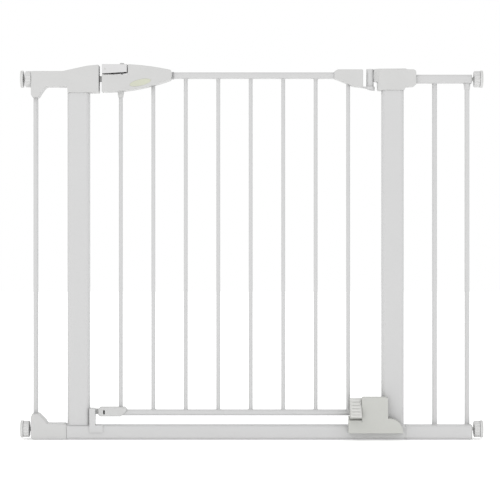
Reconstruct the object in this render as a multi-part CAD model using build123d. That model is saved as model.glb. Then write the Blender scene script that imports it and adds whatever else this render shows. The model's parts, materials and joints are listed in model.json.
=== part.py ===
from build123d import *
import math
import os

# A pressure-fit stair and door gate. It stands on the floor, z = 0, in the plane y = 0.
# +X runs along the gate from the latch side to the hinge side, -Y faces the user.

# Layout along the gate, from the left wall pad to the right one; posts are measured to their near faces
pad_to_side_bar = 30.3
side_bar_to_post = 64.8
post_to_first_bar = 62.6
bar_pitch = 65.9
leaf_bar_count = 8
last_bar_to_pivot = 44.3
pivot_to_post = 23.1
post_to_extension_bar = 63.0
extension_bar_to_pad = 31.4
rail_end_overhang = 7.5

# Heights
gate_height = 758.8
leaf_rail_drop = 22.0
upper_foot_drop = 29.2
lower_foot_height = 20.0
leaf_bottom_rail_height = 53.4

# Tubes
post_width = 45.0
post_depth = 25.0
post_corner = 7.0
post_wall = 1.2
rail_height = 28.5
rail_depth = 32.0
rail_corner = 5.0
rail_wall = 1.5
extension_rail_height = 17.5
extension_rail_depth = 20.0
leaf_top_rail_height = 13.0
leaf_bottom_rail_thickness = 12.0
leaf_rail_depth = 16.0
leaf_rail_corner = 5.0
thin_wall = 1.2
leaf_bar_diameter = 8.0
frame_bar_diameter = 10.0
bar_wall = 1.0
stub_diameter = 13.8

# Plastic shells
shell_wall = 2.2
shell_round = 2.0
housing_overhang = 8.7
handle_half_depth = 16.5
handle_reach = 37.65
handle_length = 142.1
latch_gap = 5.8
hinge_cap_half_depth = 11.0
screw_diameter = 3.0
screw_head_diameter = 6.0
screw_head_height = 1.8
boss_diameter = 6.4

# Latch
bolt_height = 11.0
bolt_half_width = 6.0
bolt_nose_gap = 0.5
lever_pin_diameter = 4.0
button_length = 8.6
button_width = 8.0
button_rise = 3.4
button_travel = 5.0

# Hinge
lift_pin_diameter = 10.0
collar_height = 3.0
barrel_diameter = 26.0
barrel_height = 41.0
spigot_diameter = 14.8
ring_wall = 2.0
ring_height = 8.3

# Pedal
pedal_width = 23.3
pedal_hub_diameter = 10.0
pedal_pin_diameter = 6.0
pedal_hub_y = -24.0
pedal_hub_z = 43.0
pedal_cover_front = -34.0
cover_wall = 2.5
tread_rib_count = 5

# Pressure feet
spindle_diameter = 8.0
thread_pitch = 3.0
thread_depth = 0.6
spindle_length = 82.0
pad_diameter = 35.0
pad_thickness = 2.5
disc_thickness = 3.0
nut_diameter = 33.0
nut_width = 11.7
nut_flutes = 14
bush_length = 14.0

# Fits
running_clearance = 0.06
ring_clearance = 0.1
side_clearance = 0.3

# Places worked out from the sizes above
overall_width = (
    pad_to_side_bar + side_bar_to_post + post_to_first_bar + (leaf_bar_count - 1) * bar_pitch
    + last_bar_to_pivot + pivot_to_post + post_to_extension_bar + bar_pitch + extension_bar_to_pad
    + 2 * post_width
)
left_wall_x = -overall_width / 2
side_bar_x = left_wall_x + pad_to_side_bar
left_post_x = side_bar_x + side_bar_to_post + post_width / 2
first_bar_x = left_post_x + post_width / 2 + post_to_first_bar
leaf_bar_xs = [first_bar_x + i * bar_pitch for i in range(leaf_bar_count)]
pivot_x = leaf_bar_xs[-1] + last_bar_to_pivot
right_post_x = pivot_x + pivot_to_post + post_width / 2
first_extension_x = right_post_x + post_width / 2 + post_to_extension_bar
extension_bar_xs = [first_extension_x + i * bar_pitch for i in range(2)]
left_edge_x = side_bar_x - housing_overhang
right_edge_x = extension_bar_xs[-1] + rail_end_overhang
left_post_outer = left_post_x - post_width / 2
left_post_inner = left_post_x + post_width / 2
right_post_inner = right_post_x - post_width / 2
right_post_outer = right_post_x + post_width / 2
rail_left_x = left_post_outer - 1.0
rail_right_x = right_post_outer + 3.2
handle_left_x = first_bar_x - handle_reach
handle_right_x = handle_left_x + handle_length
housing_right_x = handle_left_x - latch_gap

leaf_top_z = gate_height - leaf_rail_drop
upper_foot_z = gate_height - upper_foot_drop
lower_foot_z = lower_foot_height
leaf_rail_top = leaf_bottom_rail_height + leaf_bottom_rail_thickness / 2
leaf_rail_underside = leaf_top_z - leaf_top_rail_height / 2
bolt_z = leaf_top_z - 6.8
handle_deck_z = leaf_top_z + 1.2
bar_socket_z = leaf_top_z - 14.8
collar_z = pedal_hub_z - 3.0
barrel_z = collar_z + collar_height
housing_half_depth = post_depth / 2 + 2.5
corner_half_depth = rail_depth / 2
spindle_radius = spindle_diameter / 2
stub_radius = stub_diameter / 2
leaf_bar_radius = leaf_bar_diameter / 2
frame_bar_radius = frame_bar_diameter / 2
lift_pin_radius = lift_pin_diameter / 2
barrel_radius = barrel_diameter / 2
spigot_radius = spigot_diameter / 2


def disc(radius):
    # turned so that the seam of a bore stays off the plane where the shells part
    return Rot(0, 0, 40) * Circle(radius)


def along_x(section, x_low, x_high, y=0.0, z=0.0):
    plane = Plane((x_low, y, z), x_dir=(0, 1, 0), z_dir=(1, 0, 0))
    return extrude(plane * section, x_high - x_low)


def along_y(section, x, z, y_low, y_high):
    plane = Plane((x, y_low, z), x_dir=(0, 0, 1), z_dir=(0, 1, 0))
    return extrude(plane * section, y_high - y_low)


def upright(section, x, y, z_low, z_high):
    plane = Plane((x, y, z_low), x_dir=(1, 0, 0), z_dir=(0, 0, 1))
    return extrude(plane * section, z_high - z_low)


def block(x_low, x_high, y_low, y_high, z_low, z_high):
    centre = Pos((x_low + x_high) / 2, (y_low + y_high) / 2, (z_low + z_high) / 2)
    return centre * Box(x_high - x_low, y_high - y_low, z_high - z_low)


def tube_section(width, height, corner, wall):
    inner_corner = max(corner - wall, 0.4)
    return RectangleRounded(width, height, corner) - RectangleRounded(
        width - 2 * wall, height - 2 * wall, inner_corner
    )


def pipe_section(radius, wall):
    return disc(radius) - disc(radius - wall)


def outline(points, corner):
    return make_face(FilletPolyline(*points, radius=corner, close=True))


def slab(face, y_low, y_high):
    return Pos(0, (y_low + y_high) / 2, 0) * extrude(Plane.XZ * face, (y_high - y_low) / 2, both=True)


def rounded_slab(face, half_depth, edge):
    solid = slab(face, -half_depth, half_depth)
    rims = solid.faces().filter_by(Axis.Y).edges()
    return fillet(rims, edge)


def hollow(face, half_depth, wall, edge):
    inside = offset(face, -wall)
    return rounded_slab(face, half_depth, edge) - slab(inside, wall - half_depth, half_depth - wall)


def add_bosses(solid, spots, half_depth):
    for x, z in spots:
        solid += along_y(disc(boss_diameter / 2), x, z, 1 - half_depth, half_depth - 1)
    for x, z in spots:
        recess = half_depth - screw_head_height
        solid -= along_y(disc(screw_head_diameter / 2 + side_clearance), x, z, recess, half_depth + 1)
        solid -= along_y(disc(screw_diameter / 2), x, z, -half_depth / 2, recess)
    return solid


def screws(spots, half_depth):
    made = []
    for x, z in spots:
        seat = half_depth - screw_head_height
        shank = along_y(disc(screw_diameter / 2), x, z, -half_depth / 2, seat)
        head = along_y(disc(screw_head_diameter / 2), x, z, seat, half_depth - side_clearance)
        slot = block(x - 2.0, x + 2.0, half_depth - 1.1, half_depth, z - 0.4, z + 0.4)
        cross = block(x - 0.4, x + 0.4, half_depth - 1.1, half_depth, z - 2.0, z + 2.0)
        made.append(shank + head - slot - cross)
    return made


def front_half(solid):
    box = solid.bounding_box()
    return solid & block(box.min.X - 1, box.max.X + 1, box.min.Y - 1, 0, box.min.Z - 1, box.max.Z + 1)


def rear_half(solid):
    box = solid.bounding_box()
    return solid & block(box.min.X - 1, box.max.X + 1, 0, box.max.Y + 1, box.min.Z - 1, box.max.Z + 1)


post_outer = RectangleRounded(post_width, post_depth, post_corner)
post_section = tube_section(post_width, post_depth, post_corner, post_wall)
rail_section = tube_section(rail_depth, rail_height, rail_corner, rail_wall)
extension_outer = RectangleRounded(extension_rail_depth, extension_rail_height, leaf_rail_corner)
extension_section = tube_section(extension_rail_depth, extension_rail_height, leaf_rail_corner, thin_wall)
leaf_top_outer = RectangleRounded(leaf_rail_depth, leaf_top_rail_height, leaf_rail_corner)
leaf_top_section = tube_section(leaf_rail_depth, leaf_top_rail_height, leaf_rail_corner, thin_wall)
leaf_bottom_outer = RectangleRounded(leaf_rail_depth, leaf_bottom_rail_thickness, leaf_rail_corner)
leaf_bottom_section = tube_section(
    leaf_rail_depth, leaf_bottom_rail_thickness, leaf_rail_corner, thin_wall
)
post_top_z = upper_foot_z + 5.4
stub_reach = 30.0

nodes = {}

# Bottom rail, with the hole that the lift pin dips into
pin_hole = upright(disc(lift_pin_radius + side_clearance), pivot_x, 0, rail_height - 4, rail_height + 1)
nodes["bottom_rail"] = along_x(rail_section, rail_left_x, rail_right_x, z=rail_height / 2) - pin_hole

# Posts and the left side bar
nodes["left_post"] = upright(post_section, left_post_x, 0, rail_height, post_top_z)
nodes["right_post"] = upright(post_section, right_post_x, 0, rail_height, post_top_z)
nodes["left_side_bar"] = upright(
    pipe_section(frame_bar_radius, bar_wall), side_bar_x, 0,
    lower_foot_z + stub_radius, upper_foot_z - stub_radius,
)

# Stub tubes that carry the left spindles
stub_section = pipe_section(stub_radius, thin_wall)
stub_left_x = left_edge_x + shell_wall
upper_stub = along_x(stub_section, stub_left_x, left_post_outer, z=upper_foot_z)
lower_stub = along_x(stub_section, stub_left_x, rail_left_x + stub_reach, z=lower_foot_z)
nodes["left_stubs"] = [upper_stub, lower_stub]


# Left top housing: two shells round the post head, the stub and the side bar
def left_top_housing():
    shoulder_z = leaf_top_z + 8.2
    rim_z = leaf_top_z - 35.3
    arch_z = rim_z + 12.0
    socket_z = leaf_top_z - 44.8
    face = outline(
        [
            (left_edge_x, leaf_top_z - 38.8),
            (left_edge_x, shoulder_z),
            (left_post_outer - 9.0, shoulder_z),
            (left_post_inner - 5.0, leaf_top_z + 18.9),
            (housing_right_x, leaf_top_z + 21.2),
            (housing_right_x, rim_z),
            (left_post_outer + 0.5, rim_z),
            (left_post_outer + 0.5, arch_z),
            (side_bar_x + 21.8, arch_z),
            (side_bar_x + 13.8, rim_z + 2.6),
            (side_bar_x + frame_bar_radius + 1.4, socket_z),
            (side_bar_x - frame_bar_radius - 1.0, socket_z),
        ],
        [2, 4, 20, 20, 2, 2, 1, 1, 4, 10, 0.8, 0.8],
    )
    solid = hollow(face, housing_half_depth, shell_wall, shell_round)
    solid -= upright(post_outer, left_post_x, 0, rim_z - 1, post_top_z)
    solid -= upright(disc(frame_bar_radius), side_bar_x, 0, socket_z - 1, upper_foot_z - stub_radius)
    solid -= along_x(disc(spindle_radius + side_clearance), left_edge_x - 1, stub_left_x, z=upper_foot_z)
    window = block(
        housing_right_x - 4, housing_right_x + 1, -8.5, 8.5,
        bolt_z - bolt_height / 2 - 2.0, bolt_z + bolt_height / 2 + 2.0,
    )
    return add_bosses(solid - window, left_top_spots, housing_half_depth)


left_top_spots = [(left_post_outer - 21.5, leaf_top_z - 18.4), (left_post_inner + 9.5, leaf_top_z + 11.5)]
left_top = left_top_housing()
nodes["left_top_housing_front"] = front_half(left_top)
nodes["left_top_housing_rear"] = rear_half(left_top)


# Latch keeper: a block on the post, with the pocket that takes the bolt
def latch_keeper():
    half_pocket = bolt_height / 2 + 1.0
    body = block(
        left_post_inner, housing_right_x - side_clearance, -8.2, 8.2,
        bolt_z - half_pocket - 0.8, bolt_z + half_pocket + 0.8,
    )
    pocket = block(
        left_post_inner + 5.0, housing_right_x + 1, -7.0, 7.0, bolt_z - half_pocket, bolt_z + half_pocket
    )
    return body - pocket


nodes["latch_keeper"] = latch_keeper()


# Left bottom corner: two shells round the lower stub and the foot of the side bar
def left_bottom_corner():
    top_z = rail_height + 3.5
    face = outline(
        [
            (left_edge_x, 0),
            (rail_left_x, 0),
            (rail_left_x, rail_height),
            (rail_left_x - 4.0, top_z),
            (side_bar_x + 23.8, top_z),
            (side_bar_x + 20.0, top_z + 6.5),
            (side_bar_x + frame_bar_radius + 1.4, top_z + 20.0),
            (side_bar_x - frame_bar_radius - 1.0, top_z + 20.0),
            (left_edge_x, top_z + 13.0),
        ],
        [6, 0.8, 0.8, 2, 2, 8, 0.8, 0.8, 4],
    )
    solid = hollow(face, corner_half_depth, shell_wall, shell_round)
    solid -= along_x(disc(stub_radius), stub_left_x, rail_left_x + 1, z=lower_foot_z)
    solid -= along_x(disc(spindle_radius + side_clearance), left_edge_x - 1, stub_left_x, z=lower_foot_z)
    solid -= upright(disc(frame_bar_radius), side_bar_x, 0, lower_foot_z + stub_radius, top_z + 21)
    return add_bosses(solid, left_bottom_spots, corner_half_depth)


left_bottom_spots = [(rail_left_x - 22.0, lower_foot_z - stub_radius - boss_diameter / 2 - 1.0)]
left_bottom = left_bottom_corner()
nodes["left_bottom_corner_front"] = front_half(left_bottom)
nodes["left_bottom_corner_rear"] = rear_half(left_bottom)


# Lower keeper: stops the leaf's nose from swinging forward, open to the rear and above
nose_tip_x = first_bar_x - 52.4
nose_half_depth = 5.0
keeper_top_z = leaf_bottom_rail_height + 9.0


def lower_keeper():
    back = block(left_post_inner, nose_tip_x - 1.0, -11.0, 9.0, rail_height, keeper_top_z)
    lip = block(left_post_inner, nose_tip_x + 2.0, -corner_half_depth - 2.0, -11.0, rail_height, keeper_top_z)
    stop = block(
        nose_tip_x - 1.0, nose_tip_x + 2.0, -11.0, -nose_half_depth - 0.5,
        rail_height, keeper_top_z,
    )
    foot = block(
        left_post_inner, nose_tip_x + 17.0, -corner_half_depth - 2.0, -corner_half_depth,
        rail_height / 2, rail_height,
    )
    return fillet((back + lip + stop + foot).edges().filter_by(Axis.Z).sort_by(Axis.Y)[:2], 0.8)


nodes["lower_keeper"] = lower_keeper()


# Right top housing: the hinge side, with a slim neck towards the spigot and a socket for the extension
neck_x = pivot_x + spigot_radius + 0.3
neck_underside = leaf_top_z - 12.5
socket_end_x = right_post_outer + 24.7


def right_top_housing():
    top_z = leaf_top_z + 13.4
    rim_z = leaf_top_z - 30.3
    face = outline(
        [
            (neck_x, neck_underside),
            (right_post_inner - 8.1, neck_underside),
            (right_post_inner - 8.1, rim_z),
            (right_post_outer + 0.8, rim_z),
            (right_post_outer + 3.6, rim_z + 7.0),
            (socket_end_x, rim_z + 8.5),
            (socket_end_x, top_z - 2.0),
            (right_post_outer + 6.0, top_z - 1.6),
            (right_post_outer + 3.0, top_z),
            (neck_x, top_z - 0.6),
        ],
        [0.8, 1.5, 3, 1, 2, 6, 6, 1, 1, 1.5],
    )
    half = housing_half_depth
    slim = spigot_radius
    plan = make_face(
        Polyline(
            (neck_x - 1, -slim),
            (pivot_x + 9.0, -slim),
            (pivot_x + 17.0, 1 - half),
            (pivot_x + 19.0, -half - 1),
            (socket_end_x + 1, -half - 1),
            (socket_end_x + 1, half + 1),
            (pivot_x + 19.0, half + 1),
            (pivot_x + 17.0, half - 1),
            (pivot_x + 9.0, slim),
            (neck_x - 1, slim),
            close=True,
        )
    )
    body = rounded_slab(face, half, shell_round) & upright(plan, 0, 0, rim_z - 1, top_z + 1)
    cavity_face = offset(face, -shell_wall)
    cavity = slab(cavity_face, shell_wall - half, half - shell_wall)
    cavity &= block(right_post_inner - 2.0, socket_end_x + 1, -half, half, rim_z - 1, top_z + 1)
    solid = body - cavity
    solid -= upright(post_outer, right_post_x, 0, rim_z - 1, post_top_z)
    solid -= along_x(extension_outer, right_post_outer, socket_end_x + 1, z=upper_foot_z)
    solid -= tang()
    return add_bosses(solid, right_top_spots, half)


def tang():
    return block(pivot_x, right_post_inner, -4.0, 4.0, leaf_top_z - 8.0, leaf_top_z + 8.0)


right_top_spots = [
    (right_post_x, leaf_top_z + 6.6),
    (right_post_outer + 12.0, leaf_top_z + 6.6),
]
right_top = right_top_housing()
nodes["right_top_housing_front"] = front_half(right_top)
nodes["right_top_housing_rear"] = rear_half(right_top)

# Upper hinge: a spigot with a tang on the frame, and a ring on an arm on the leaf
ring_low_z = leaf_top_z - 30.8
ring_high_z = ring_low_z + ring_height
spigot = upright(disc(spigot_radius), pivot_x, 0, ring_low_z + 3.5, leaf_top_z + 12.9)
nodes["hinge_spigot"] = spigot + tang()


# Extension panel: two rails, two bars, and the joiners inside the rails
nodes["ext_top_rail"] = along_x(extension_section, right_post_outer + 4.0, right_edge_x, z=upper_foot_z)
nodes["ext_bottom_rail"] = along_x(rail_section, rail_right_x + 0.5, right_edge_x, z=rail_height / 2)
extension_rail_underside = upper_foot_z - extension_rail_height / 2


def extension_bars():
    bars = [
        upright(pipe_section(frame_bar_radius, bar_wall), x, 0, rail_height, extension_rail_underside)
        for x in extension_bar_xs
    ]
    ferrule = Pos(extension_bar_xs[-1], 0, extension_rail_underside - 6.5) * Cone(
        frame_bar_radius + 0.6, frame_bar_radius + 2.0, 13.0
    )
    bore = upright(
        disc(frame_bar_radius - bar_wall), extension_bar_xs[-1], 0,
        extension_rail_underside - 14, extension_rail_underside + 1,
    )
    bars[-1] = bars[-1] + (ferrule - bore)
    return bars


nodes["ext_bars"] = extension_bars()
joiner_reach = 38.0
upper_joiner = along_x(
    tube_section(
        extension_rail_depth - 2 * thin_wall - 0.4, extension_rail_height - 2 * thin_wall - 0.4,
        leaf_rail_corner - thin_wall, rail_wall,
    ),
    right_post_outer, right_post_outer + joiner_reach, z=upper_foot_z,
)
lower_joiner = along_x(
    tube_section(
        rail_depth - 2 * rail_wall - 0.4, rail_height - 2 * rail_wall - 0.4,
        rail_corner - rail_wall, rail_wall,
    ),
    rail_right_x - joiner_reach, rail_right_x + joiner_reach, z=rail_height / 2,
)
nodes["ext_joiners"] = [upper_joiner, lower_joiner]


# Guide bushes: plain in the left stubs, flanged plugs in the ends of the extension rails
def guide_bushes():
    bore = disc(spindle_radius + running_clearance)
    made = []
    for z in (upper_foot_z, lower_foot_z):
        bush = disc(stub_radius - thin_wall) - bore
        made.append(along_x(bush, stub_left_x, stub_left_x + bush_length, z=z))
    upper_plug = RectangleRounded(
        extension_rail_depth - 2 * thin_wall, extension_rail_height - 2 * thin_wall,
        leaf_rail_corner - thin_wall,
    )
    lower_plug = RectangleRounded(
        rail_depth - 2 * rail_wall, rail_height - 2 * rail_wall, rail_corner - rail_wall
    )
    lower_flange = RectangleRounded(rail_depth, rail_height, rail_corner)
    plugs = (
        (upper_plug, extension_outer, upper_foot_z, upper_foot_z),
        (lower_plug, lower_flange, rail_height / 2, lower_foot_z),
    )
    for plug, flange, z, bore_z in plugs:
        solid = along_x(plug, right_edge_x - bush_length, right_edge_x, z=z)
        solid += along_x(flange, right_edge_x, right_edge_x + 1.4, z=z)
        solid -= along_x(bore, right_edge_x - bush_length - 1, right_edge_x + 2.4, z=bore_z)
        made.append(solid)
    return made


nodes["guide_bushes"] = guide_bushes()


# Lower hinge: bracket on the rail and post, lift pin with its collar, barrel on the leaf
def pivot_bracket():
    plate = block(pivot_x - barrel_radius, right_post_inner, -11.5, 11.5, rail_height, collar_z - 6.0)
    boss = upright(disc(lift_pin_radius + 3.0), pivot_x, 0, rail_height, collar_z)
    wing = block(right_post_inner - 3.0, right_post_inner, -9.0, 9.0, rail_height, collar_z + 22.0)
    bore = upright(disc(lift_pin_radius + running_clearance), pivot_x, 0, rail_height - 1, collar_z + 1)
    return plate + boss + wing - bore


nodes["pivot_bracket"] = pivot_bracket()

pin_top_z = barrel_z + barrel_height - 2.3
lift_shank = upright(disc(lift_pin_radius), pivot_x, 0, rail_height / 2, pin_top_z)
lift_collar = upright(disc(barrel_radius), pivot_x, 0, collar_z, collar_z + collar_height)
nodes["lift_pin"] = lift_shank + lift_collar

spring_low_z = barrel_z + 15.0
spring_high_z = barrel_z + 33.0
spring_room_radius = lift_pin_radius + 3.2
spring_wire = 1.2


def lower_hinge_barrel():
    body = upright(disc(barrel_radius), pivot_x, 0, barrel_z, barrel_z + barrel_height)
    body = fillet(body.edges().filter_by(GeomType.CIRCLE).sort_by(Axis.Z)[-1], 2.5)
    body -= upright(disc(lift_pin_radius + running_clearance), pivot_x, 0, barrel_z - 1, pin_top_z + 0.6)
    return body - upright(disc(spring_room_radius), pivot_x, 0, spring_low_z, spring_high_z)


nodes["lower_hinge_barrel"] = lower_hinge_barrel()


def coil(radius, wire_diameter, length, turns):
    pitch = (length - wire_diameter) / turns
    path = Helix(pitch=pitch, height=length - wire_diameter, radius=radius)
    return sweep(Plane(path @ 0, z_dir=path % 0) * disc(wire_diameter / 2), path)


closing_coil_radius = spring_room_radius - spring_wire / 2 - 0.3
closing_coil = coil(closing_coil_radius, spring_wire, spring_high_z - spring_low_z - 0.4, 8)
nodes["closing_spring"] = Pos(pivot_x, 0, spring_low_z + 0.2 + spring_wire / 2) * closing_coil


# Pedal: cover on the frame, pin, lever with hub and fork, ribbed tread
pedal_right_x = pivot_x - 19.0
pedal_left_x = pedal_right_x - pedal_width
cover_left_x = pedal_left_x - 3.0
cover_body_x = pedal_right_x + 0.3
cover_body_right_x = pivot_x + 34.3
cover_right_x = right_post_outer - 3.4
cover_low_z = rail_height / 2
cover_ledge_z = collar_z - 4.0
cover_lip_z = cover_ledge_z + 4.4
cover_top_z = barrel_z + barrel_height + 3.0
cover_back = -rail_depth / 2
hub_radius = pedal_hub_diameter / 2
pedal_pin_radius = pedal_pin_diameter / 2


def pedal_cover():
    arch = cover_right_x - cover_body_right_x - 2.5
    arch_top_z = cover_low_z + 2.0 + arch
    edge_lines = [
        Line((cover_left_x, cover_low_z), (cover_right_x, cover_low_z)),
        Line((cover_right_x, cover_low_z), (cover_right_x, cover_low_z + 2.0)),
        CenterArc((cover_right_x - arch, cover_low_z + 2.0), arch, 0, 90),
        Line((cover_right_x - arch, arch_top_z), (cover_body_right_x, arch_top_z)),
        Line((cover_body_right_x, arch_top_z), (cover_body_right_x, cover_top_z)),
        Line((cover_body_right_x, cover_top_z), (cover_body_x, cover_top_z)),
        Line((cover_body_x, cover_top_z), (cover_body_x, cover_ledge_z)),
        Line((cover_body_x, cover_ledge_z), (cover_left_x, cover_ledge_z)),
        Line((cover_left_x, cover_ledge_z), (cover_left_x, cover_low_z)),
    ]
    face = make_face(edge_lines)
    tips = face.vertices().filter_by(lambda v: v.Y > cover_top_z - 0.1)
    face = fillet(tips, 5.0)
    ledges = face.vertices().filter_by(
        lambda v: v.X < cover_body_x + 0.1 and cover_low_z < v.Y < cover_top_z - 9
    )
    face = fillet(ledges, 2.5)
    solid = slab(face, pedal_cover_front, cover_back)
    solid = fillet(solid.faces().sort_by(Axis.Y)[0].edges(), 1.6)
    room = slab(offset(face, -cover_wall), pedal_cover_front + cover_wall, cover_back + 1)
    solid -= room
    hub_y, hub_z = pedal_hub_y, pedal_hub_z
    solid -= Pos(0, hub_y, hub_z) * along_x(
        disc(hub_radius + 0.8), cover_body_x - 1, cover_body_x + cover_wall + 1
    )
    front_y = pedal_cover_front
    solid += block(cover_left_x, cover_body_x, front_y, front_y + cover_wall, cover_ledge_z - 1.0, cover_lip_z)
    lug_x = cover_left_x + 2.5
    solid += block(cover_left_x, lug_x, hub_y - 5.0, hub_y + 5.0, cover_ledge_z - 1.0, hub_z + 5.0)
    solid += Pos(0, hub_y, hub_z) * along_x(
        disc(pedal_pin_radius + 2.5), cover_body_right_x - 8.0, cover_body_right_x - 1.0
    )
    return solid - Pos(0, hub_y, hub_z) * along_x(
        disc(pedal_pin_radius), cover_left_x - 1, cover_body_right_x - 1.6
    )


nodes["pedal_cover"] = pedal_cover()
nodes["pedal_pin"] = along_x(
    disc(pedal_pin_radius), cover_left_x, cover_body_right_x - 1.6, y=pedal_hub_y, z=pedal_hub_z
)


def side_plate(points, x_low, x_high):
    plane = Plane((x_low, 0, 0), x_dir=(0, 1, 0), z_dir=(1, 0, 0))
    return extrude(plane * make_face(Polyline(*points, close=True)), x_high - x_low)


pad_top = (-17.0, pedal_hub_z + 41.0)
pad_foot = (-52.0, pedal_hub_z + 4.0)
pad_plate = 3.0
fork_inner = lift_pin_radius + 4.0
fork_width = 3.5
fork_length = 23.0
hub_right_x = pivot_x + fork_inner + fork_width


def pedal_lever():
    hub_y, hub_z = pedal_hub_y, pedal_hub_z
    solid = along_x(disc(hub_radius), pedal_left_x, hub_right_x, y=hub_y, z=hub_z)
    board = [
        pad_foot,
        (pad_foot[0] + pad_plate, pad_foot[1] - 1.0),
        (pad_top[0] + pad_plate, pad_top[1] - 3.0),
        (pad_top[0] + pad_plate, pad_top[1]),
        pad_top,
    ]
    solid += side_plate(board, pedal_left_x, pedal_right_x)
    web = [
        (hub_y - hub_radius + 0.4, hub_z),
        (hub_y + hub_radius - 0.4, hub_z),
        (pad_top[0] + 1, pad_top[1] - 5),
        (pad_foot[0] + 3.5, pad_foot[1] + 2.0),
    ]
    for x in (pedal_left_x, pedal_right_x - 3.0):
        solid += side_plate(web, x, x + 3.0)
    prong = [
        (hub_y, hub_z - hub_radius + 0.3),
        (hub_y + 9.0, collar_z - 4.0),
        (hub_y + fork_length, collar_z - 3.0),
        (hub_y + fork_length, collar_z - side_clearance),
        (hub_y + 8.5, collar_z - side_clearance),
        (hub_y + hub_radius - 1.0, hub_z + 2.0),
    ]
    for x in (pivot_x - fork_inner - fork_width, pivot_x + fork_inner):
        solid += side_plate(prong, x, x + fork_width)
    bore = disc(pedal_pin_radius + running_clearance)
    return solid - along_x(bore, pedal_left_x - 1, hub_right_x + 1, y=hub_y, z=hub_z)


def pedal_tread():
    reach = Vector(pad_foot[0] - pad_top[0], pad_foot[1] - pad_top[1])
    length = reach.length
    tilt = Plane(
        origin=(0, pad_top[0], pad_top[1]), x_dir=(1, 0, 0),
        z_dir=(0, reach.Y / length, -reach.X / length),
    )
    mid_x = (pedal_left_x + pedal_right_x) / 2
    down = -1 if tilt.y_dir.Z > 0 else 1
    sheet = extrude(RectangleRounded(pedal_width - 1.0, length - 2.0, 2.5), 1.2)
    mat = tilt * Pos(mid_x, down * length / 2, 0) * sheet
    step = (length - 10.0) / tread_rib_count
    for i in range(tread_rib_count):
        place = Pos(mid_x, down * (5.0 + (i + 0.5) * step), 1.2)
        mat += tilt * place * extrude(RectangleRounded(pedal_width - 5.0, step * 0.55, 1.5), 1.2)
    return mat


nodes["pedal_lever"] = pedal_lever()
nodes["pedal_tread"] = pedal_tread()

# Leaf rails and bars
barrel_cut = upright(disc(barrel_radius), pivot_x, 0, 0, leaf_rail_top + 5)
cap_left_x = first_bar_x - 45.4
nodes["leaf_bottom_rail"] = (
    along_x(leaf_bottom_section, cap_left_x + 22.0, pivot_x, z=leaf_bottom_rail_height) - barrel_cut
)
arm_plate_x = pivot_x - 23.0
top_rail_left_x = first_bar_x + 23.4
nodes["leaf_top_rail"] = along_x(leaf_top_section, top_rail_left_x, arm_plate_x, z=leaf_top_z)


def leaf_bars():
    section = pipe_section(leaf_bar_radius, bar_wall)
    tops = [bar_socket_z] + [leaf_rail_underside] * (leaf_bar_count - 1)
    return [upright(section, x, 0, leaf_rail_top, top) for x, top in zip(leaf_bar_xs, tops)]


nodes["leaf_bars"] = leaf_bars()


# Handle: two shells round the latch, with a socket and ferrule for the first bar
slot_end_x = handle_left_x + 52.5
channel_left_x = handle_left_x
channel_right_x = handle_left_x + 58.0
bolt_left_x = housing_right_x + bolt_nose_gap
bolt_right_x = first_bar_x + 13.6
spring_seat_x = top_rail_left_x - 0.6
handle_spots = [
    (handle_left_x + 19.0, leaf_top_z - 23.8),
    (handle_left_x + 66.0, leaf_top_z - 20.8),
    (handle_left_x + 79.0, leaf_top_z + 12.6),
]


def handle_face():
    tip_x = handle_right_x - 3.0
    top = ThreePointArc(
        (slot_end_x, gate_height - 0.2),
        (handle_left_x + 96.0, gate_height - 4.0),
        (tip_x, gate_height - 11.6),
    )
    bottom = ThreePointArc(
        (tip_x, leaf_top_z - 9.0),
        (handle_left_x + 77.0, leaf_top_z - 26.6),
        (handle_left_x, leaf_top_z - 33.4),
    )
    nose = ThreePointArc(top @ 1, (handle_right_x, leaf_top_z + 0.6), bottom @ 0)
    sides = [
        Line(bottom @ 1, (handle_left_x, handle_deck_z)),
        Line((handle_left_x, handle_deck_z), (slot_end_x, handle_deck_z)),
        Line((slot_end_x, handle_deck_z), top @ 0),
    ]
    return make_face([top, nose, bottom] + sides)


def handle():
    face = handle_face()
    half = handle_half_depth
    solid = slab(face, -half, half)
    solid = fillet(solid.faces().filter_by(Axis.Y).edges(), shell_round)
    solid -= slab(offset(face, -shell_wall), shell_wall - half, half - shell_wall)
    inside = slab(offset(face, -1.0), 1.0 - half, half - 1.0)
    ribs = block(channel_left_x, channel_right_x, -half, half, bar_socket_z, handle_deck_z)
    ribs += upright(disc(leaf_bar_radius + 3.0), first_bar_x, 0, leaf_top_z - 33.0, bar_socket_z)
    ribs += block(spring_seat_x - 1.8, spring_seat_x, -half, half, bar_socket_z - 2, handle_deck_z)
    solid += ribs & inside
    solid += Pos(first_bar_x, 0, leaf_top_z - 38.3) * Cone(leaf_bar_radius + 0.8, leaf_bar_radius + 3.0, 13.0)
    slack = side_clearance
    solid -= block(
        channel_left_x - 2, spring_seat_x - 1.8, -bolt_half_width - slack, bolt_half_width + slack,
        bolt_z - bolt_height / 2 - slack, bolt_z + bolt_height / 2 + slack,
    )
    solid -= block(lever_finger_x - 4.0, lever_finger_x + 6.5, -4.0, 4.0, bolt_z, handle_deck_z + 1)
    solid += block(
        handle_left_x + 1.5, lever_pivot_x + 3.5, -tongue_half_width, tongue_half_width,
        handle_deck_z - 1.0, lever_pivot_z + 3.5,
    )
    solid -= along_y(disc(lever_pin_diameter / 2), lever_pivot_x, lever_pivot_z, -half, half)
    solid -= upright(disc(leaf_bar_radius), first_bar_x, 0, leaf_top_z - 50, bar_socket_z)
    for x in leaf_bar_xs[1:3]:
        solid -= upright(disc(leaf_bar_radius), x, 0, leaf_top_z - 50, leaf_top_z)
    solid -= along_x(leaf_top_outer, top_rail_left_x, handle_right_x + 1, z=leaf_top_z)
    return add_bosses(solid, handle_spots, half)


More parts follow.
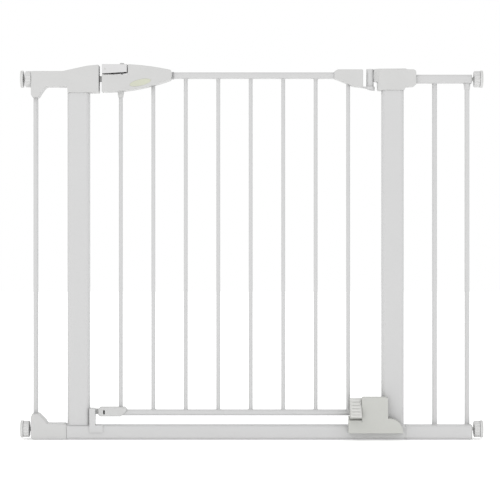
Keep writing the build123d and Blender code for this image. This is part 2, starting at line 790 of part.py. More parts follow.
# The release lever turns on a pin through a tongue at the top left of the handle
lever_pivot_x = handle_left_x + 6.5
lever_pivot_z = leaf_top_z + 12.2
lever_right_x = slot_end_x - 1.6
lever_underside_z = handle_deck_z + 5.0
lever_finger_x = handle_left_x + 40.0
tongue_half_width = 4.0
window_centre = (handle_left_x + 78.0, leaf_top_z - 15.4)
window_length = 44.0
window_height = 13.0
window_tilt = 13.0
window_thickness = 1.4


def window_outline(grow):
    lens = Ellipse((window_length + grow) / 2, (window_height + grow) / 2, rotation=window_tilt)
    return Pos(*window_centre) * lens


handle_solid = handle()
window_pocket = slab(window_outline(0.2), -handle_half_depth - 1, window_thickness - handle_half_depth)
nodes["handle_front_shell"] = front_half(handle_solid) - window_pocket
nodes["handle_rear_shell"] = rear_half(handle_solid)
nodes["indicator_window"] = slab(
    window_outline(-0.2), -handle_half_depth, window_thickness - handle_half_depth
)


def release_lever():
    half = handle_half_depth
    face = make_face(
        Polyline(
            (handle_left_x + 0.4, gate_height),
            (lever_right_x, gate_height - 0.2),
            (lever_right_x, lever_underside_z),
            (lever_pivot_x + 4.0, lever_underside_z - 2.6),
            (handle_left_x + 0.4, lever_underside_z - 3.0),
            close=True,
        )
    )
    solid = slab(face, -half, half)
    top_rims = solid.faces().filter_by(Axis.Y).edges().filter_by(Axis.X, tolerance=1.0).group_by(Axis.Z)[-1]
    solid = fillet(top_rims, shell_round)
    room_z = gate_height - 2.6
    solid -= block(
        lever_pivot_x + 6.0, lever_right_x - 2.4, 2.4 - half, half - 2.4, lever_underside_z - 4, room_z
    )
    slack = 0.4
    solid -= block(
        handle_left_x, lever_pivot_x + 6.5, -tongue_half_width - slack, tongue_half_width + slack,
        lever_underside_z - 4, lever_pivot_z + 5.2,
    )
    ledge_low = room_z - 4.6
    for low, high in ((3.0 - half, -button_width / 2 - 1.0), (button_width / 2 + 1.0, half - 3.0)):
        solid += block(
            lever_finger_x - 14.5, lever_right_x - 2.0, low - 0.8, high, ledge_low, ledge_low + 1.2
        )
    solid += block(
        lever_finger_x - 2.0, lever_finger_x + 2.0, 2.0 - half, half - 2.0, lever_underside_z, ledge_low
    )
    solid += block(lever_finger_x - 2.0, lever_finger_x + 2.0, -3.0, 3.0, handle_deck_z - 5.0, ledge_low)
    gap = button_travel + side_clearance
    solid -= block(
        button_x - gap, button_x + button_length + side_clearance, -button_width / 2 - side_clearance,
        button_width / 2 + side_clearance, room_z - 1, gate_height + 1,
    )
    pin_bore = disc(lever_pin_diameter / 2 + running_clearance)
    return solid - along_y(pin_bore, lever_pivot_x, lever_pivot_z, -half - 1, half + 1)


button_x = handle_left_x + 36.0
nodes["release_lever"] = release_lever()
nodes["lever_pin"] = along_y(
    disc(lever_pin_diameter / 2), lever_pivot_x, lever_pivot_z,
    0.5 - handle_half_depth, handle_half_depth - 0.5,
)


def lock_button():
    room_z = gate_height - 2.6
    half = button_width / 2
    stem = block(button_x, button_x + button_length, -half, half, room_z - 3.1, gate_height + button_rise)
    stem = fillet(stem.edges().filter_by(Axis.Y).sort_by(Axis.Z)[-2:], 1.5)
    flange = block(
        button_x - 2.4, button_x + button_length + 2.4, -half - 2.5, half + 2.5, room_z - 3.1, room_z - 0.3
    )
    return stem + flange


nodes["lock_button"] = lock_button()


def latch_bolt():
    low = bolt_z - bolt_height / 2
    high = bolt_z + bolt_height / 2
    body = block(bolt_left_x, bolt_right_x, -bolt_half_width, bolt_half_width, low, high)
    body = fillet(body.faces().sort_by(Axis.X)[0].edges(), 1.2)
    ramp = make_face(
        Polyline(
            (lever_finger_x - 9.0, high + 1),
            (lever_finger_x - 9.0, low + 3.0),
            (lever_finger_x - 5.5, low + 3.0),
            (lever_finger_x + 9.0, high + 1),
            close=True,
        )
    )
    return body - slab(ramp, -bolt_half_width - 1, bolt_half_width + 1)


nodes["latch_bolt"] = latch_bolt()
bolt_coil_length = spring_seat_x - 1.8 - bolt_right_x - 0.4
bolt_coil = Rot(0, 90, 0) * coil(3.2, 0.8, bolt_coil_length, 5)
nodes["bolt_spring"] = Pos(bolt_right_x + 0.6, 0, bolt_z) * bolt_coil


# Leaf cap at the lower left corner, with the nose that sits behind the lower keeper
def lower_latch_cap():
    low_z = leaf_bottom_rail_height - 6.1 - 1.4
    high_z = leaf_bottom_rail_height + 11.2
    face = outline(
        [
            (cap_left_x, low_z),
            (cap_left_x + 46.0, low_z),
            (cap_left_x + 59.0, leaf_rail_top - 1.0),
            (cap_left_x + 54.0, high_z),
            (cap_left_x, high_z),
        ],
        [6, 4, 3, 4, 6],
    )
    solid = rounded_slab(face, leaf_rail_depth / 2 + 2.5, 1.6)
    solid += block(
        nose_tip_x, cap_left_x + 4.0, -nose_half_depth, nose_half_depth,
        leaf_bottom_rail_height - 3.0, leaf_bottom_rail_height + 7.6,
    )
    slot_floor = leaf_rail_depth / 2
    solid -= along_y(
        SlotOverall(9.0, 3.6), cap_left_x + 12.0, leaf_bottom_rail_height + 1.0, -slot_floor - 5.0, slot_floor
    )
    solid -= along_x(leaf_bottom_outer, cap_left_x + 22.0, cap_left_x + 60.0, z=leaf_bottom_rail_height)
    return solid - upright(disc(leaf_bar_radius), first_bar_x, 0, leaf_rail_top, high_z + 1)


nodes["lower_latch_cap"] = lower_latch_cap()


# Upper right corner of the leaf: an arm with a ring round the spigot, under two cap shells
def upper_hinge_arm():
    ring_radius = spigot_radius + ring_clearance + ring_wall
    plate = block(arm_plate_x, arm_plate_x + 6.0, -5.0, 5.0, ring_low_z, leaf_top_z + 5.5)
    foot = block(arm_plate_x, pivot_x, -5.0, 5.0, ring_low_z, ring_high_z)
    ring = upright(disc(ring_radius), pivot_x, 0, ring_low_z, ring_high_z)
    bore = upright(disc(spigot_radius + ring_clearance), pivot_x, 0, ring_low_z - 1, ring_high_z + 1)
    below = make_face(
        Polyline(
            (arm_plate_x - 1, ring_low_z - 1),
            (arm_plate_x - 1, ring_high_z - 0.5),
            (pivot_x + ring_radius, ring_low_z),
            (pivot_x + ring_radius, ring_low_z - 1),
            close=True,
        )
    )
    return plate + foot + ring - bore - slab(below, -ring_radius - 1, ring_radius + 1)


nodes["upper_hinge_arm"] = upper_hinge_arm()


def hinge_cap():
    right_x = pivot_x - 14.4
    left_x = right_x - 58.5
    face = outline(
        [
            (left_x, leaf_top_z - 6.5),
            (left_x + 22.6, leaf_top_z - 15.2),
            (left_x + 38.1, leaf_top_z - 22.2),
            (right_x, leaf_top_z - 24.5),
            (right_x, leaf_top_z + 12.0),
            (left_x + 7.6, leaf_top_z + 12.0),
            (left_x, leaf_top_z + 8.0),
        ],
        [2, 12, 8, 2, 3, 5, 3],
    )
    solid = hollow(face, hinge_cap_half_depth, shell_wall, shell_round)
    solid -= along_x(leaf_top_outer, left_x - 1, arm_plate_x, z=leaf_top_z)
    solid -= upright(disc(leaf_bar_radius), leaf_bar_xs[-1], 0, leaf_top_z - 40, leaf_top_z)
    solid -= block(arm_plate_x, arm_plate_x + 6.0, -5.0, 5.0, ring_low_z, leaf_top_z + 5.5)
    solid -= block(arm_plate_x, right_x + 1, -5.0, 5.0, ring_low_z, ring_high_z)
    return add_bosses(solid, hinge_cap_spots, hinge_cap_half_depth)


hinge_cap_spots = [(arm_plate_x - 9.0, leaf_rail_underside - boss_diameter / 2 - 0.8)]
hinge_cap_solid = hinge_cap()
nodes["hinge_cap_front"] = front_half(hinge_cap_solid)
nodes["hinge_cap_rear"] = rear_half(hinge_cap_solid)

# Screws, driven in from the rear
nodes["housing_screws"] = (
    screws(left_top_spots, housing_half_depth)
    + screws(left_bottom_spots, corner_half_depth)
    + screws(right_top_spots, housing_half_depth)
)
nodes["handle_screws"] = screws(handle_spots, handle_half_depth) + screws(
    hinge_cap_spots, hinge_cap_half_depth
)


# Pressure feet: spindle, disc, rubber pad and fluted hand nut at each corner
def spindle(wall_x, side, z):
    tip_length = 2.0
    start = pad_thickness + disc_thickness - tip_length
    thread_start = pad_thickness + disc_thickness
    ring_count = int((spindle_length - tip_length) / thread_pitch)
    points = [(start, 0), (start, 3.0), (thread_start, 3.0)]
    for i in range(ring_count):
        ring_x = thread_start + i * thread_pitch
        points.append((ring_x + 0.2, spindle_radius))
        points.append((ring_x + thread_pitch * 0.55, spindle_radius))
        points.append((ring_x + thread_pitch * 0.8, spindle_radius - thread_depth))
    end_x = thread_start + ring_count * thread_pitch
    points += [(end_x, spindle_radius - thread_depth), (end_x, 0)]
    placed = [(wall_x - side * x, r) for x, r in points]
    rod = revolve(Plane.XZ * make_face(Polyline(*placed, close=True)), Axis.X)
    return Pos(0, 0, z) * rod


def between(first, second):
    return min(first, second), max(first, second)


def foot_disc(wall_x, side, z):
    low, high = between(wall_x - side * pad_thickness, wall_x - side * (pad_thickness + disc_thickness))
    plate = along_x(disc(pad_diameter / 2), low, high, z=z)
    inner_edge = plate.edges().filter_by(GeomType.CIRCLE).sort_by(Axis.X)[0 if side > 0 else -1]
    plate = fillet(inner_edge, 1.4)
    seat_low, seat_high = between(
        wall_x - side * (pad_thickness + disc_thickness - 2.0),
        wall_x - side * (pad_thickness + disc_thickness + 1.0),
    )
    return plate - along_x(disc(3.0), seat_low, seat_high, z=z)


def wall_pad(wall_x, side, z):
    low, high = between(wall_x, wall_x - side * pad_thickness)
    return along_x(disc(pad_diameter / 2), low, high, z=z)


def hand_nut(x_low, z):
    body = along_x(disc(nut_diameter / 2), x_low, x_low + nut_width, z=z)
    body = chamfer(body.edges().filter_by(GeomType.CIRCLE), 1.0)
    for i in range(nut_flutes):
        turn = 2 * math.pi * i / nut_flutes
        reach = nut_diameter / 2 + 1.3
        flute = along_x(
            disc(2.6), x_low - 1, x_low + nut_width + 1,
            y=reach * math.cos(turn), z=z + reach * math.sin(turn),
        )
        body -= flute
    bore = disc(spindle_radius + running_clearance)
    return body - along_x(bore, x_low - 1, x_low + nut_width + 1, z=z)


foot_depth = pad_thickness + disc_thickness
corners = {
    "left_top": (-1, upper_foot_z, left_edge_x - side_clearance - nut_width),
    "left_bottom": (-1, lower_foot_z, left_wall_x + foot_depth + side_clearance),
    "right_top": (1, upper_foot_z, -left_wall_x - foot_depth - side_clearance - nut_width),
    "right_bottom": (1, lower_foot_z, -left_wall_x - foot_depth - side_clearance - nut_width),
}
for corner_name, (side, foot_z, nut_x) in corners.items():
    wall_x = side * overall_width / 2
    nodes[f"{corner_name}_spindle"] = spindle(wall_x, side, foot_z)
    nodes[f"{corner_name}_foot_disc"] = foot_disc(wall_x, side, foot_z)
    nodes[f"{corner_name}_wall_pad"] = wall_pad(wall_x, side, foot_z)
    nodes[f"{corner_name}_hand_nut"] = hand_nut(nut_x, foot_z)

os.makedirs("parts", exist_ok=True)
for name, made in nodes.items():
    shape = Compound(children=made) if isinstance(made, list) else made
    export_step(shape, f"parts/{name}.step")
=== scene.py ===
import json
import math

import bmesh
import bpy
from mathutils import Matrix, Vector


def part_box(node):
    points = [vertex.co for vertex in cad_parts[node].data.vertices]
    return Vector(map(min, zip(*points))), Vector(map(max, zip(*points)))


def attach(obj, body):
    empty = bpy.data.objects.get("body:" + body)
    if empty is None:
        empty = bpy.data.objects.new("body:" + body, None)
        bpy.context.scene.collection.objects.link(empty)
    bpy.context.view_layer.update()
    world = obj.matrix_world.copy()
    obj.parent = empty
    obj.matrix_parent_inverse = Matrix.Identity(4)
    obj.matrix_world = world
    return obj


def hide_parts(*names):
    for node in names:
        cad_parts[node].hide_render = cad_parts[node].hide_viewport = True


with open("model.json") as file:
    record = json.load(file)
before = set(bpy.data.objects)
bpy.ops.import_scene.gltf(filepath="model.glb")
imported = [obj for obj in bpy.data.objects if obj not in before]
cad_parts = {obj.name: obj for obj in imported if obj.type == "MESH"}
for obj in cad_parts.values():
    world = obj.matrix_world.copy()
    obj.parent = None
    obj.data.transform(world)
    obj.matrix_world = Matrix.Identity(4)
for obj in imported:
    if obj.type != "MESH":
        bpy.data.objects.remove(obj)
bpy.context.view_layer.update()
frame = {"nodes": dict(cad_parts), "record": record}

# camera, light and floor
viewSettings = {
    "distance": 3.4,
    "pictureWidth": 1.015,   # metres across the picture in the gate's plane
    "aimX": -0.0035,
    "aimZ": 0.383,
    "sensor": 36.0,
    "farthest": 50.0,
}


def setCamera(s):
    data = bpy.data.cameras.new("camera")
    data.sensor_width = s["sensor"]
    data.lens = s["sensor"] * s["distance"] / s["pictureWidth"]
    data.clip_end = s["farthest"]
    camera = bpy.data.objects.new("camera", data)
    bpy.context.collection.objects.link(camera)
    camera.location = (s["aimX"], -s["distance"], s["aimZ"])
    camera.rotation_euler = (math.radians(90), 0, 0)
    bpy.context.scene.camera = camera


lightSettings = {
    "world": (1.0, 1.0, 1.0),
    "worldStrength": 1.0,
    "areas": [   # name, place, size, watts, aim
        ("keyLight", (-1.6, -2.2, 2.4), 1.8, 11.0, (0.0, 0.0, 0.4)),
        ("fillLight", (2.0, -2.0, 1.0), 2.0, 3.0, (0.0, 0.0, 0.3)),
    ],
}


def setLights(s):
    world = bpy.data.worlds.new("studio")
    bpy.context.scene.world = world
    world.use_nodes = True
    background = world.node_tree.nodes["Background"]
    background.inputs["Color"].default_value = (*s["world"], 1.0)
    background.inputs["Strength"].default_value = s["worldStrength"]
    for name, place, size, watts, aim in s["areas"]:
        data = bpy.data.lights.new(name, "AREA")
        data.shape = "DISK"
        data.size = size
        data.energy = watts
        lamp = bpy.data.objects.new(name, data)
        bpy.context.collection.objects.link(lamp)
        lamp.location = place
        lamp.rotation_euler = (Vector(aim) - Vector(place)).to_track_quat("-Z", "Y").to_euler()
    view = bpy.context.scene.view_settings
    view.view_transform = "Standard"
    view.look = "None"


floorSettings = {"reach": 12.0, "drop": 0.0006, "color": (0.97, 0.97, 0.97), "glow": 0.25}


def makeFloor(s):
    mesh = bpy.data.meshes.new("studioFloor")
    r = s["reach"]
    z = -s["drop"]
    mesh.from_pydata([(-r, -r, z), (r, -r, z), (r, r, z), (-r, r, z)], [], [(0, 1, 2, 3)])
    floor = bpy.data.objects.new("studioFloor", mesh)
    bpy.context.collection.objects.link(floor)
    material = bpy.data.materials.new("studioFloorPaint")
    material.use_nodes = True
    shader = material.node_tree.nodes["Principled BSDF"]
    shader.inputs["Base Color"].default_value = (*s["color"], 1.0)
    shader.inputs["Roughness"].default_value = 1.0
    shader.inputs["Specular IOR Level"].default_value = 0.0
    shader.inputs["Emission Color"].default_value = (1.0, 1.0, 1.0, 1.0)
    shader.inputs["Emission Strength"].default_value = s["glow"]
    mesh.materials.append(material)


setCamera(viewSettings)
setLights(lightSettings)
makeFloor(floorSettings)
print("camera, light and floor are set")


# finishes
def newMaterial(name, roughness, specular=0.5):
    material = bpy.data.materials.new(name)
    material.use_nodes = True
    tree = material.node_tree
    shader = tree.nodes["Principled BSDF"]
    shader.inputs["Roughness"].default_value = roughness
    shader.inputs["Specular IOR Level"].default_value = specular
    return material, tree, shader


def noiseNode(tree, scale, detail, stretch=(1.0, 1.0, 1.0)):
    place = tree.nodes.new("ShaderNodeTexCoord")
    mapping = tree.nodes.new("ShaderNodeMapping")
    mapping.inputs["Scale"].default_value = stretch
    noise = tree.nodes.new("ShaderNodeTexNoise")
    noise.inputs["Scale"].default_value = scale
    noise.inputs["Detail"].default_value = detail
    tree.links.new(place.outputs["Object"], mapping.inputs["Vector"])
    tree.links.new(mapping.outputs["Vector"], noise.inputs["Vector"])
    return noise


def rampNode(tree, source, stops):
    ramp = tree.nodes.new("ShaderNodeValToRGB")
    # a new ramp has two stops already, as many as these finishes need
    for element, (position, color) in zip(ramp.color_ramp.elements, stops):
        element.position = position
        element.color = (*color, 1.0)
    tree.links.new(source, ramp.inputs["Fac"])
    return ramp


def bumpNode(tree, source, strength, distance, below=None):
    bump = tree.nodes.new("ShaderNodeBump")
    bump.inputs["Strength"].default_value = strength
    bump.inputs["Distance"].default_value = distance
    tree.links.new(source, bump.inputs["Height"])
    if below is not None:
        tree.links.new(below, bump.inputs["Normal"])
    return bump


reliefSettings = {
    "driftDetail": 3.0, "driftStops": (0.3, 0.7), "roughSpread": 0.06, "cavitySamples": 6,
    "waveDetail": 1.0, "waveHeight": 0.0006, "grainDetail": 2.0, "grainHeight": 0.0003,
    "streakDetail": 4.0, "streakStops": (0.25, 0.75), "streakShade": 0.8, "streakBump": 0.15,
}


def grainedFinish(name, s, relief=reliefSettings):
    # a paint or moulding: colour drifts a little, a fine grain and a softer waviness stand in relief
    material, tree, shader = newMaterial(name, s["roughness"], s.get("specular", 0.5))
    drift = noiseNode(tree, s["driftScale"], relief["driftDetail"])
    color = s["color"]
    shade = 1.0 - s["drift"]
    low = tuple(c * shade for c in color)
    ramp = rampNode(tree, drift.outputs["Fac"], zip(relief["driftStops"], (low, color)))
    cavity = tree.nodes.new("ShaderNodeAmbientOcclusion")   # painted shade: the colour darkens in corners and creases, where ambient occlusion finds them
    cavity.inputs["Distance"].default_value = s["cavityReach"]
    cavity.samples = relief["cavitySamples"]
    # painted shade: a darker copy of the colour is mixed in where the occlusion is strong
    paintedCornerShade = tree.nodes.new("ShaderNodeMix")
    paintedCornerShade.data_type = "RGBA"   # its colour sockets are inputs 6 and 7 and output 2
    paintedCornerShade.inputs[6].default_value = (*[c * s["cavityShade"] for c in color], 1.0)
    tree.links.new(cavity.outputs["AO"], paintedCornerShade.inputs["Factor"])
    tree.links.new(ramp.outputs["Color"], paintedCornerShade.inputs[7])
    tree.links.new(paintedCornerShade.outputs[2], shader.inputs["Base Color"])
    rough = tree.nodes.new("ShaderNodeMapRange")
    rough.inputs["To Min"].default_value = s["roughness"] - relief["roughSpread"]
    rough.inputs["To Max"].default_value = s["roughness"] + relief["roughSpread"]
    tree.links.new(drift.outputs["Fac"], rough.inputs["Value"])
    tree.links.new(rough.outputs["Result"], shader.inputs["Roughness"])
    wave = noiseNode(tree, s["waveScale"], relief["waveDetail"])
    grain = noiseNode(tree, s["grainScale"], relief["grainDetail"])
    soft = bumpNode(tree, wave.outputs["Fac"], s["waveBump"], relief["waveHeight"])
    fine = bumpNode(tree, grain.outputs["Fac"], s["grainBump"], relief["grainHeight"], soft.outputs["Normal"])
    tree.links.new(fine.outputs["Normal"], shader.inputs["Normal"])
    return material


def platedFinish(name, s, relief=reliefSettings):
    # zinc plate with faint drawing marks along the rod
    material, tree, shader = newMaterial(name, s["roughness"])
    shader.inputs["Metallic"].default_value = s["metallic"]
    streak = noiseNode(tree, s["streakScale"], relief["streakDetail"], s["stretch"])
    low = tuple(c * relief["streakShade"] for c in s["color"])
    ramp = rampNode(tree, streak.outputs["Fac"], zip(relief["streakStops"], (low, s["color"])))
    tree.links.new(ramp.outputs["Color"], shader.inputs["Base Color"])
    bump = bumpNode(tree, streak.outputs["Fac"], relief["streakBump"], relief["grainHeight"])
    tree.links.new(bump.outputs["Normal"], shader.inputs["Normal"])
    return material


powderCoat = {
    "color": (0.556, 0.556, 0.556), "roughness": 0.42, "drift": 0.02, "driftScale": 9.0, "waveScale": 260.0,
    "waveBump": 0.04, "grainScale": 1900.0, "grainBump": 0.05, "cavityReach": 0.010, "cavityShade": 0.80,
}
housingPlastic = {
    "color": (0.550, 0.550, 0.545), "roughness": 0.5, "drift": 0.03, "driftScale": 25.0, "waveScale": 120.0,
    "waveBump": 0.04, "grainScale": 2600.0, "grainBump": 0.12, "cavityReach": 0.010, "cavityShade": 0.78,
}
pedalPlastic = dict(housingPlastic, color=(0.512, 0.516, 0.490), roughness=0.55, grainBump=0.16)
# painted light: the tread is a lighter copy of the pedal plastic, raised so it reads as bright as the cover
# in spite of the shade between its ribs
treadLitPlastic = dict(pedalPlastic, color=(0.640, 0.640, 0.620), cavityReach=0.004)
nutPlastic = dict(housingPlastic, color=(0.610, 0.610, 0.605), roughness=0.46)
discPlastic = dict(nutPlastic, color=(0.625, 0.625, 0.620))
leverPlastic = dict(housingPlastic, color=(0.605, 0.603, 0.605), roughness=0.44)
buttonPlastic = dict(housingPlastic, color=(0.560, 0.560, 0.553), roughness=0.40)
latchPlastic = dict(housingPlastic, color=(0.52, 0.52, 0.515), roughness=0.45)
indicatorPlastic = dict(
    housingPlastic, color=(0.555, 0.566, 0.462), roughness=0.28, grainBump=0.02, drift=0.05,
)
padRubber = dict(housingPlastic, color=(0.63, 0.63, 0.62), roughness=0.8, specular=0.3, grainBump=0.3)
# painted shadow: a dark grey for the ring at the handle's mouth, standing in for the shade there
collarShadowPaint = dict(padRubber, color=(0.40, 0.40, 0.40))
spindleZinc = {
    "color": (0.66, 0.66, 0.65), "roughness": 0.38, "metallic": 0.25,
    "streakScale": 220.0, "stretch": (0.3, 1.0, 1.0),
}
brightZinc = dict(spindleZinc, color=(0.68, 0.68, 0.67), roughness=0.28, metallic=0.85)

finishes = {
    "coated_steel": grainedFinish("whitePowderCoat", powderCoat),
    "housing_plastic": grainedFinish("housingMoulding", housingPlastic),
    "pedal_plastic": grainedFinish("pedalMoulding", pedalPlastic),
    "tread_plastic": grainedFinish("treadLitMoulding", treadLitPlastic),
    "nut_plastic": grainedFinish("nutMoulding", nutPlastic),
    "disc_plastic": grainedFinish("discMoulding", discPlastic),
    "lever_plastic": grainedFinish("leverMoulding", leverPlastic),
    "button_plastic": grainedFinish("buttonMoulding", buttonPlastic),
    "latch_plastic": grainedFinish("latchMoulding", latchPlastic),
    "indicator_plastic": grainedFinish("indicatorMoulding", indicatorPlastic),
    "pad_rubber": grainedFinish("padRubberSkin", padRubber),
    "spindle_steel": platedFinish("spindleZinc", spindleZinc),
    "bright_steel": platedFinish("brightZinc", brightZinc),
}
collarShadowFinish = grainedFinish("collarPaintedShadow", collarShadowPaint)
print("finishes are made:", len(finishes))

# the parts of the frame: a finish each, and edges softened by the width given for their material
edgeSettings = {
    "coated_steel": 0.0005, "housing_plastic": 0.0006, "pedal_plastic": 0.0007, "tread_plastic": 0.0005,
    "nut_plastic": 0.0005, "disc_plastic": 0.0005, "lever_plastic": 0.0008, "button_plastic": 0.0005,
    "latch_plastic": 0.0004, "pad_rubber": 0.0004, "spindle_steel": 0.0, "bright_steel": 0.0,
    "indicator_plastic": 0.0,
}
bevelSettings = {"join": 0.000005, "segments": 2, "angle": 40}   # join: how near two corners count as one


def dressNode(name, slotName, s):
    node = frame["nodes"][name]
    if not node.data.materials:
        node.data.materials.append(finishes[slotName])
    for index in range(len(node.data.materials)):
        node.data.materials[index] = finishes[slotName]
    width = edgeSettings[slotName]
    if width > 0:
        weld = node.modifiers.new("joinVertices", "WELD")
        weld.merge_threshold = s["join"]
        bevel = node.modifiers.new("softEdges", "BEVEL")
        bevel.width = width
        bevel.segments = s["segments"]
        bevel.limit_method = "ANGLE"
        bevel.angle_limit = math.radians(s["angle"])
        bevel.harden_normals = False
        bevel.use_clamp_overlap = True


for part in frame["record"]["subparts"]:
    dressNode(part["node"], part["material_slot"], bevelSettings)
print("CAD parts are dressed:", len(frame["nodes"]))


# small pieces
def newPiece(name, mesh, body, slotName, material=None, smoothAngle=35):
    piece = bpy.data.objects.new(name, mesh)
    bpy.context.collection.objects.link(piece)
    mesh.materials.append(material or finishes[slotName])
    for face in mesh.polygons:
        face.use_smooth = True
    mesh.set_sharp_from_angle(angle=math.radians(smoothAngle))
    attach(piece, body)
    return piece


def meshFrom(bm, name):
    bmesh.ops.recalc_face_normals(bm, faces=bm.faces)
    mesh = bpy.data.meshes.new(name)
    bm.to_mesh(mesh)
    bm.free()
    return mesh


def addLathe(bm, profile, centre, axis="Z", steps=40, wobble=0.0, seed=0):
    # profile points are (radius, height); the last joins the first, so the ring is closed
    turn = {"Z": Matrix.Identity(3), "X": Matrix.Rotation(math.radians(90), 3, "Y")}[axis]
    rings = []
    for i in range(steps):
        a = 2 * math.pi * i / steps
        swell = 1.0 + wobble * math.sin(5 * a + seed) * math.cos(3 * a + 2 * seed)
        ring = []
        for radius, height in profile:
            point = Vector((radius * swell * math.cos(a), radius * swell * math.sin(a), height))
            ring.append(bm.verts.new(turn @ point + Vector(centre)))
        rings.append(ring)
    count = len(profile)
    for i in range(steps):
        first, second = rings[i], rings[(i + 1) % steps]
        for j in range(count):
            k = (j + 1) % count
            bm.faces.new((first[j], second[j], second[k], first[k]))


def barCentres(node, count):
    # the bars of a node stand at an even pitch
    low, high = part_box(node)
    radius = (high.y - low.y) / 2
    return [low.x + radius + (high.x - low.x - 2 * radius) * i / (count - 1) for i in range(count)], radius


# weld beads where the bars meet the rails
beadSettings = {
    "swell": 0.0013, "height": 0.0016, "tuck": 0.0002, "wobble": 0.05, "steps": 36,
    "curve": [(1.0, 0.0), (0.9, 0.35), (0.45, 0.75)],   # shares of the swell and the height
}


def weldBeads(name, body, spots, s):
    bm = bmesh.new()
    for index, (x, z, radius, up) in enumerate(spots):
        r, w, h = radius - s["tuck"], s["swell"], s["height"] * up
        profile = [(r, 0), *[(r + w * out, h * rise) for out, rise in s["curve"]], (r, h)]
        addLathe(bm, profile, (x, 0, z), steps=s["steps"], wobble=s["wobble"], seed=index)
    return newPiece(name, meshFrom(bm, name), body, "coated_steel")


leafXs, leafRadius = barCentres("leaf_bars", 8)
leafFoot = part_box("leaf_bottom_rail")[1].z
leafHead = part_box("leaf_top_rail")[0].z
tuck = beadSettings["tuck"]
# the first bar's foot, the first two heads and the last head are inside mouldings, so they show no weld
weldBeads("leafFootWelds", "leaf", [(x, leafFoot - tuck, leafRadius, 1) for x in leafXs[1:]], beadSettings)
weldBeads("leafHeadWelds", "leaf", [(x, leafHead + tuck, leafRadius, -1) for x in leafXs[2:7]], beadSettings)
extensionLow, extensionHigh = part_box("ext_bars")
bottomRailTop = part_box("bottom_rail")[1].z
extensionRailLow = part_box("ext_top_rail")[0].z
sideRadius = (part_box("left_side_bar")[1].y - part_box("left_side_bar")[0].y) / 2
ferruleGrow = 0.002   # the last bar's ferrule is this much wider than the bar
extensionXs = [extensionLow.x + sideRadius, extensionHigh.x - sideRadius - ferruleGrow]
weldBeads(
    "extensionWelds", "frame",
    [(x, bottomRailTop - tuck, sideRadius, 1) for x in extensionXs]
    + [(extensionXs[0], extensionRailLow + tuck, sideRadius, -1)],
    beadSettings,
)


# fillet weld round the foot of each post
postWeldSettings = {"corner": 0.007, "grow": 1.3, "crown": 0.7, "ripple": 0.12, "ripples": 9, "steps": 48}


def postWeld(name, post, bead, s):
    low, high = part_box(post)
    z = bottomRailTop - bead["tuck"]
    corner = s["corner"]
    bm = bmesh.new()
    inner, outer, crown = [], [], []
    for i in range(s["steps"]):
        a = 2 * math.pi * i / s["steps"]
        cx = high.x - corner if math.cos(a) > 0 else low.x + corner
        cy = high.y - corner if math.sin(a) > 0 else low.y + corner
        ripple = 1.0 + s["ripple"] * math.sin(s["ripples"] * a)
        for ring, reach, lift in (
            (inner, corner - bead["tuck"], bead["height"] * s["grow"]),
            (crown, corner + bead["swell"] * s["crown"], bead["height"] * s["crown"]),
            (outer, corner + bead["swell"] * s["grow"] * ripple, 0.0),
        ):
            ring.append(bm.verts.new((cx + reach * math.cos(a), cy + reach * math.sin(a), z + lift)))
    base = [bm.verts.new((v.co.x, v.co.y, z)) for v in inner]
    for rings in ((inner, crown), (crown, outer), (outer, base), (base, inner)):
        for i in range(s["steps"]):
            k = (i + 1) % s["steps"]
            bm.faces.new((rings[0][i], rings[0][k], rings[1][k], rings[1][i]))
    return newPiece(name, meshFrom(bm, name), "frame", "coated_steel")


postWeld("leftPostWeld", "left_post", beadSettings, postWeldSettings)
postWeld("rightPostWeld", "right_post", beadSettings, postWeldSettings)
print("welds are laid")

# painted shadow: a dark ring where the leaf's top rail leaves the handle, standing in for the shade at the
# rail's entry
collarSettings = {"start": -0.0003, "length": 0.0036, "thickness": 0.0009, "corner": 0.0055, "steps": 40}


def railShadowRing(s):
    low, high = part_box("leaf_top_rail")
    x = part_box("handle_front_shell")[1].x + s["start"]
    bm = bmesh.new()
    loops = []
    grow = s["thickness"]
    for px, reach in ((x, 0.0), (x, grow), (x + s["length"], grow), (x + s["length"], 0.0)):
        ring = []
        for i in range(s["steps"]):
            a = 2 * math.pi * i / s["steps"]
            cy = (high.y - s["corner"]) * (1 if math.cos(a) > 0 else -1)
            cz = (low.z + high.z) / 2 + ((high.z - low.z) / 2 - s["corner"]) * (1 if math.sin(a) > 0 else -1)
            r = s["corner"] + reach
            ring.append(bm.verts.new((px, cy + r * math.cos(a), cz + r * math.sin(a))))
        loops.append(ring)
    for n in range(len(loops)):
        first, second = loops[n], loops[(n + 1) % len(loops)]
        for i in range(s["steps"]):
            k = (i + 1) % s["steps"]
            bm.faces.new((first[i], first[k], second[k], second[i]))
    return newPiece("railShadowRing", meshFrom(bm, "railShadowRing"), "leaf", "pad_rubber", collarShadowFinish)


railShadowRing(collarSettings)

# the plain ring round each nut's bore, a hair proud of both faces
hubSettings = {"bore": 0.0042, "radius": 0.0094, "edge": 0.0006, "proud": 0.0002, "steps": 48}
corners = ["left_top", "left_bottom", "right_top", "right_bottom"]


def nutHub(corner, s):
    low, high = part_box(corner + "_hand_nut")
    centre = (low + high) / 2
    bm = bmesh.new()
    half = (high.x - low.x) / 2
    far = half + s["proud"]
    shoulder = far - s["edge"]
    rim = s["radius"] - s["edge"]
    profile = [
        (s["bore"], -far), (rim, -far), (s["radius"], -shoulder),
        (s["radius"], shoulder), (rim, far), (s["bore"], far),
    ]
    addLathe(bm, profile, centre, axis="X", steps=s["steps"])
    return newPiece(corner + "NutHub", meshFrom(bm, corner + "NutHub"), corner + "_nut", "nut_plastic")


for corner in corners:
    nutHub(corner, hubSettings)
print("nut hubs are made")

# wall pads with rings moulded into the face that grips the wall
padSettings = {
    "grooves": [0.0045, 0.0075, 0.0105, 0.0135], "grooveWidth": 0.0011, "grooveFoot": 0.6,
    "grooveDepth": 0.0008, "edge": 0.0005, "middle": 0.0002, "steps": 64,
}


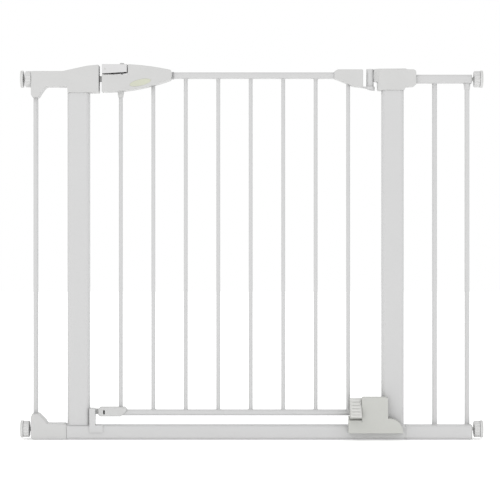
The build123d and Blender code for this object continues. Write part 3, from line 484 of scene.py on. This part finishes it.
def wallPad(corner, s):
    node = corner + "_wall_pad"
    low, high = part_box(node)
    centre = (low + high) / 2
    side = 1 if centre.x > 0 else -1
    radius = (high.z - low.z) / 2
    half = (high.x - low.x) / 2
    profile = [(s["middle"], -half), (radius - s["edge"], -half), (radius, -half + s["edge"])]
    profile += [(radius, half - s["edge"]), (radius - s["edge"], half)]
    for place in reversed(s["grooves"]):
        wall = s["grooveWidth"] / 2
        foot = wall * s["grooveFoot"]
        profile += [(place + wall, half), (place + foot, half - s["grooveDepth"])]
        profile += [(place - foot, half - s["grooveDepth"]), (place - wall, half)]
    profile.append((s["middle"], half))
    bm = bmesh.new()
    addLathe(bm, [(r, side * h) for r, h in profile], centre, axis="X", steps=s["steps"])
    piece = newPiece(corner + "PadSkin", meshFrom(bm, corner + "PadSkin"), corner + "_foot", "pad_rubber")
    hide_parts(node)


for corner in corners:
    wallPad(corner, padSettings)
print("wall pads are made")

# rows of small grip studs on the ribs of the tread
studSettings = {
    "rows": 8, "columns": 5, "radius": 0.0011, "height": 0.0006, "sideMargin": 0.0045, "endMargin": 0.0050,
    "root": 0.0030, "sink": 0.0006, "steps": 12,
    "dome": [(1.0, 0.0), (0.7, 0.7), (0.3, 1.0)],   # shares of the radius and the height
}


def treadStuds(s):
    low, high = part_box("pedal_tread")
    top = Vector((0, high.y, high.z))
    foot = Vector((0, low.y, low.z))
    along = (foot - top).normalized()
    face = Vector((0, along.z, -along.y))   # square to the tread, towards the user
    reach = (foot - top).length
    outline = [(1.0, -s["root"]), *[(size, share * s["height"]) for size, share in s["dome"]]]
    bm = bmesh.new()
    for row in range(s["rows"]):
        distance = s["endMargin"] + (reach - 2 * s["endMargin"]) * row / (s["rows"] - 1)
        for column in range(s["columns"]):
            share = column / (s["columns"] - 1)
            x = low.x + s["sideMargin"] + (high.x - low.x - 2 * s["sideMargin"]) * share
            place = top + along * distance + Vector((x, 0, 0))
            rings = []
            for size, rise in outline:
                ring = []
                for i in range(s["steps"]):
                    a = 2 * math.pi * i / s["steps"]
                    across = Vector((1, 0, 0)) * math.cos(a) + along * math.sin(a)
                    ring.append(bm.verts.new(place + across * s["radius"] * size + face * (rise - s["sink"])))
                rings.append(ring)
            for first, second in zip(rings, rings[1:]):
                for i in range(s["steps"]):
                    k = (i + 1) % s["steps"]
                    bm.faces.new((first[i], first[k], second[k], second[i]))
            bm.faces.new(rings[0])
            bm.faces.new(rings[-1])
    return newPiece("treadStuds", meshFrom(bm, "treadStuds"), "pedal", "tread_plastic")


treadStuds(studSettings)
print("small pieces are made")
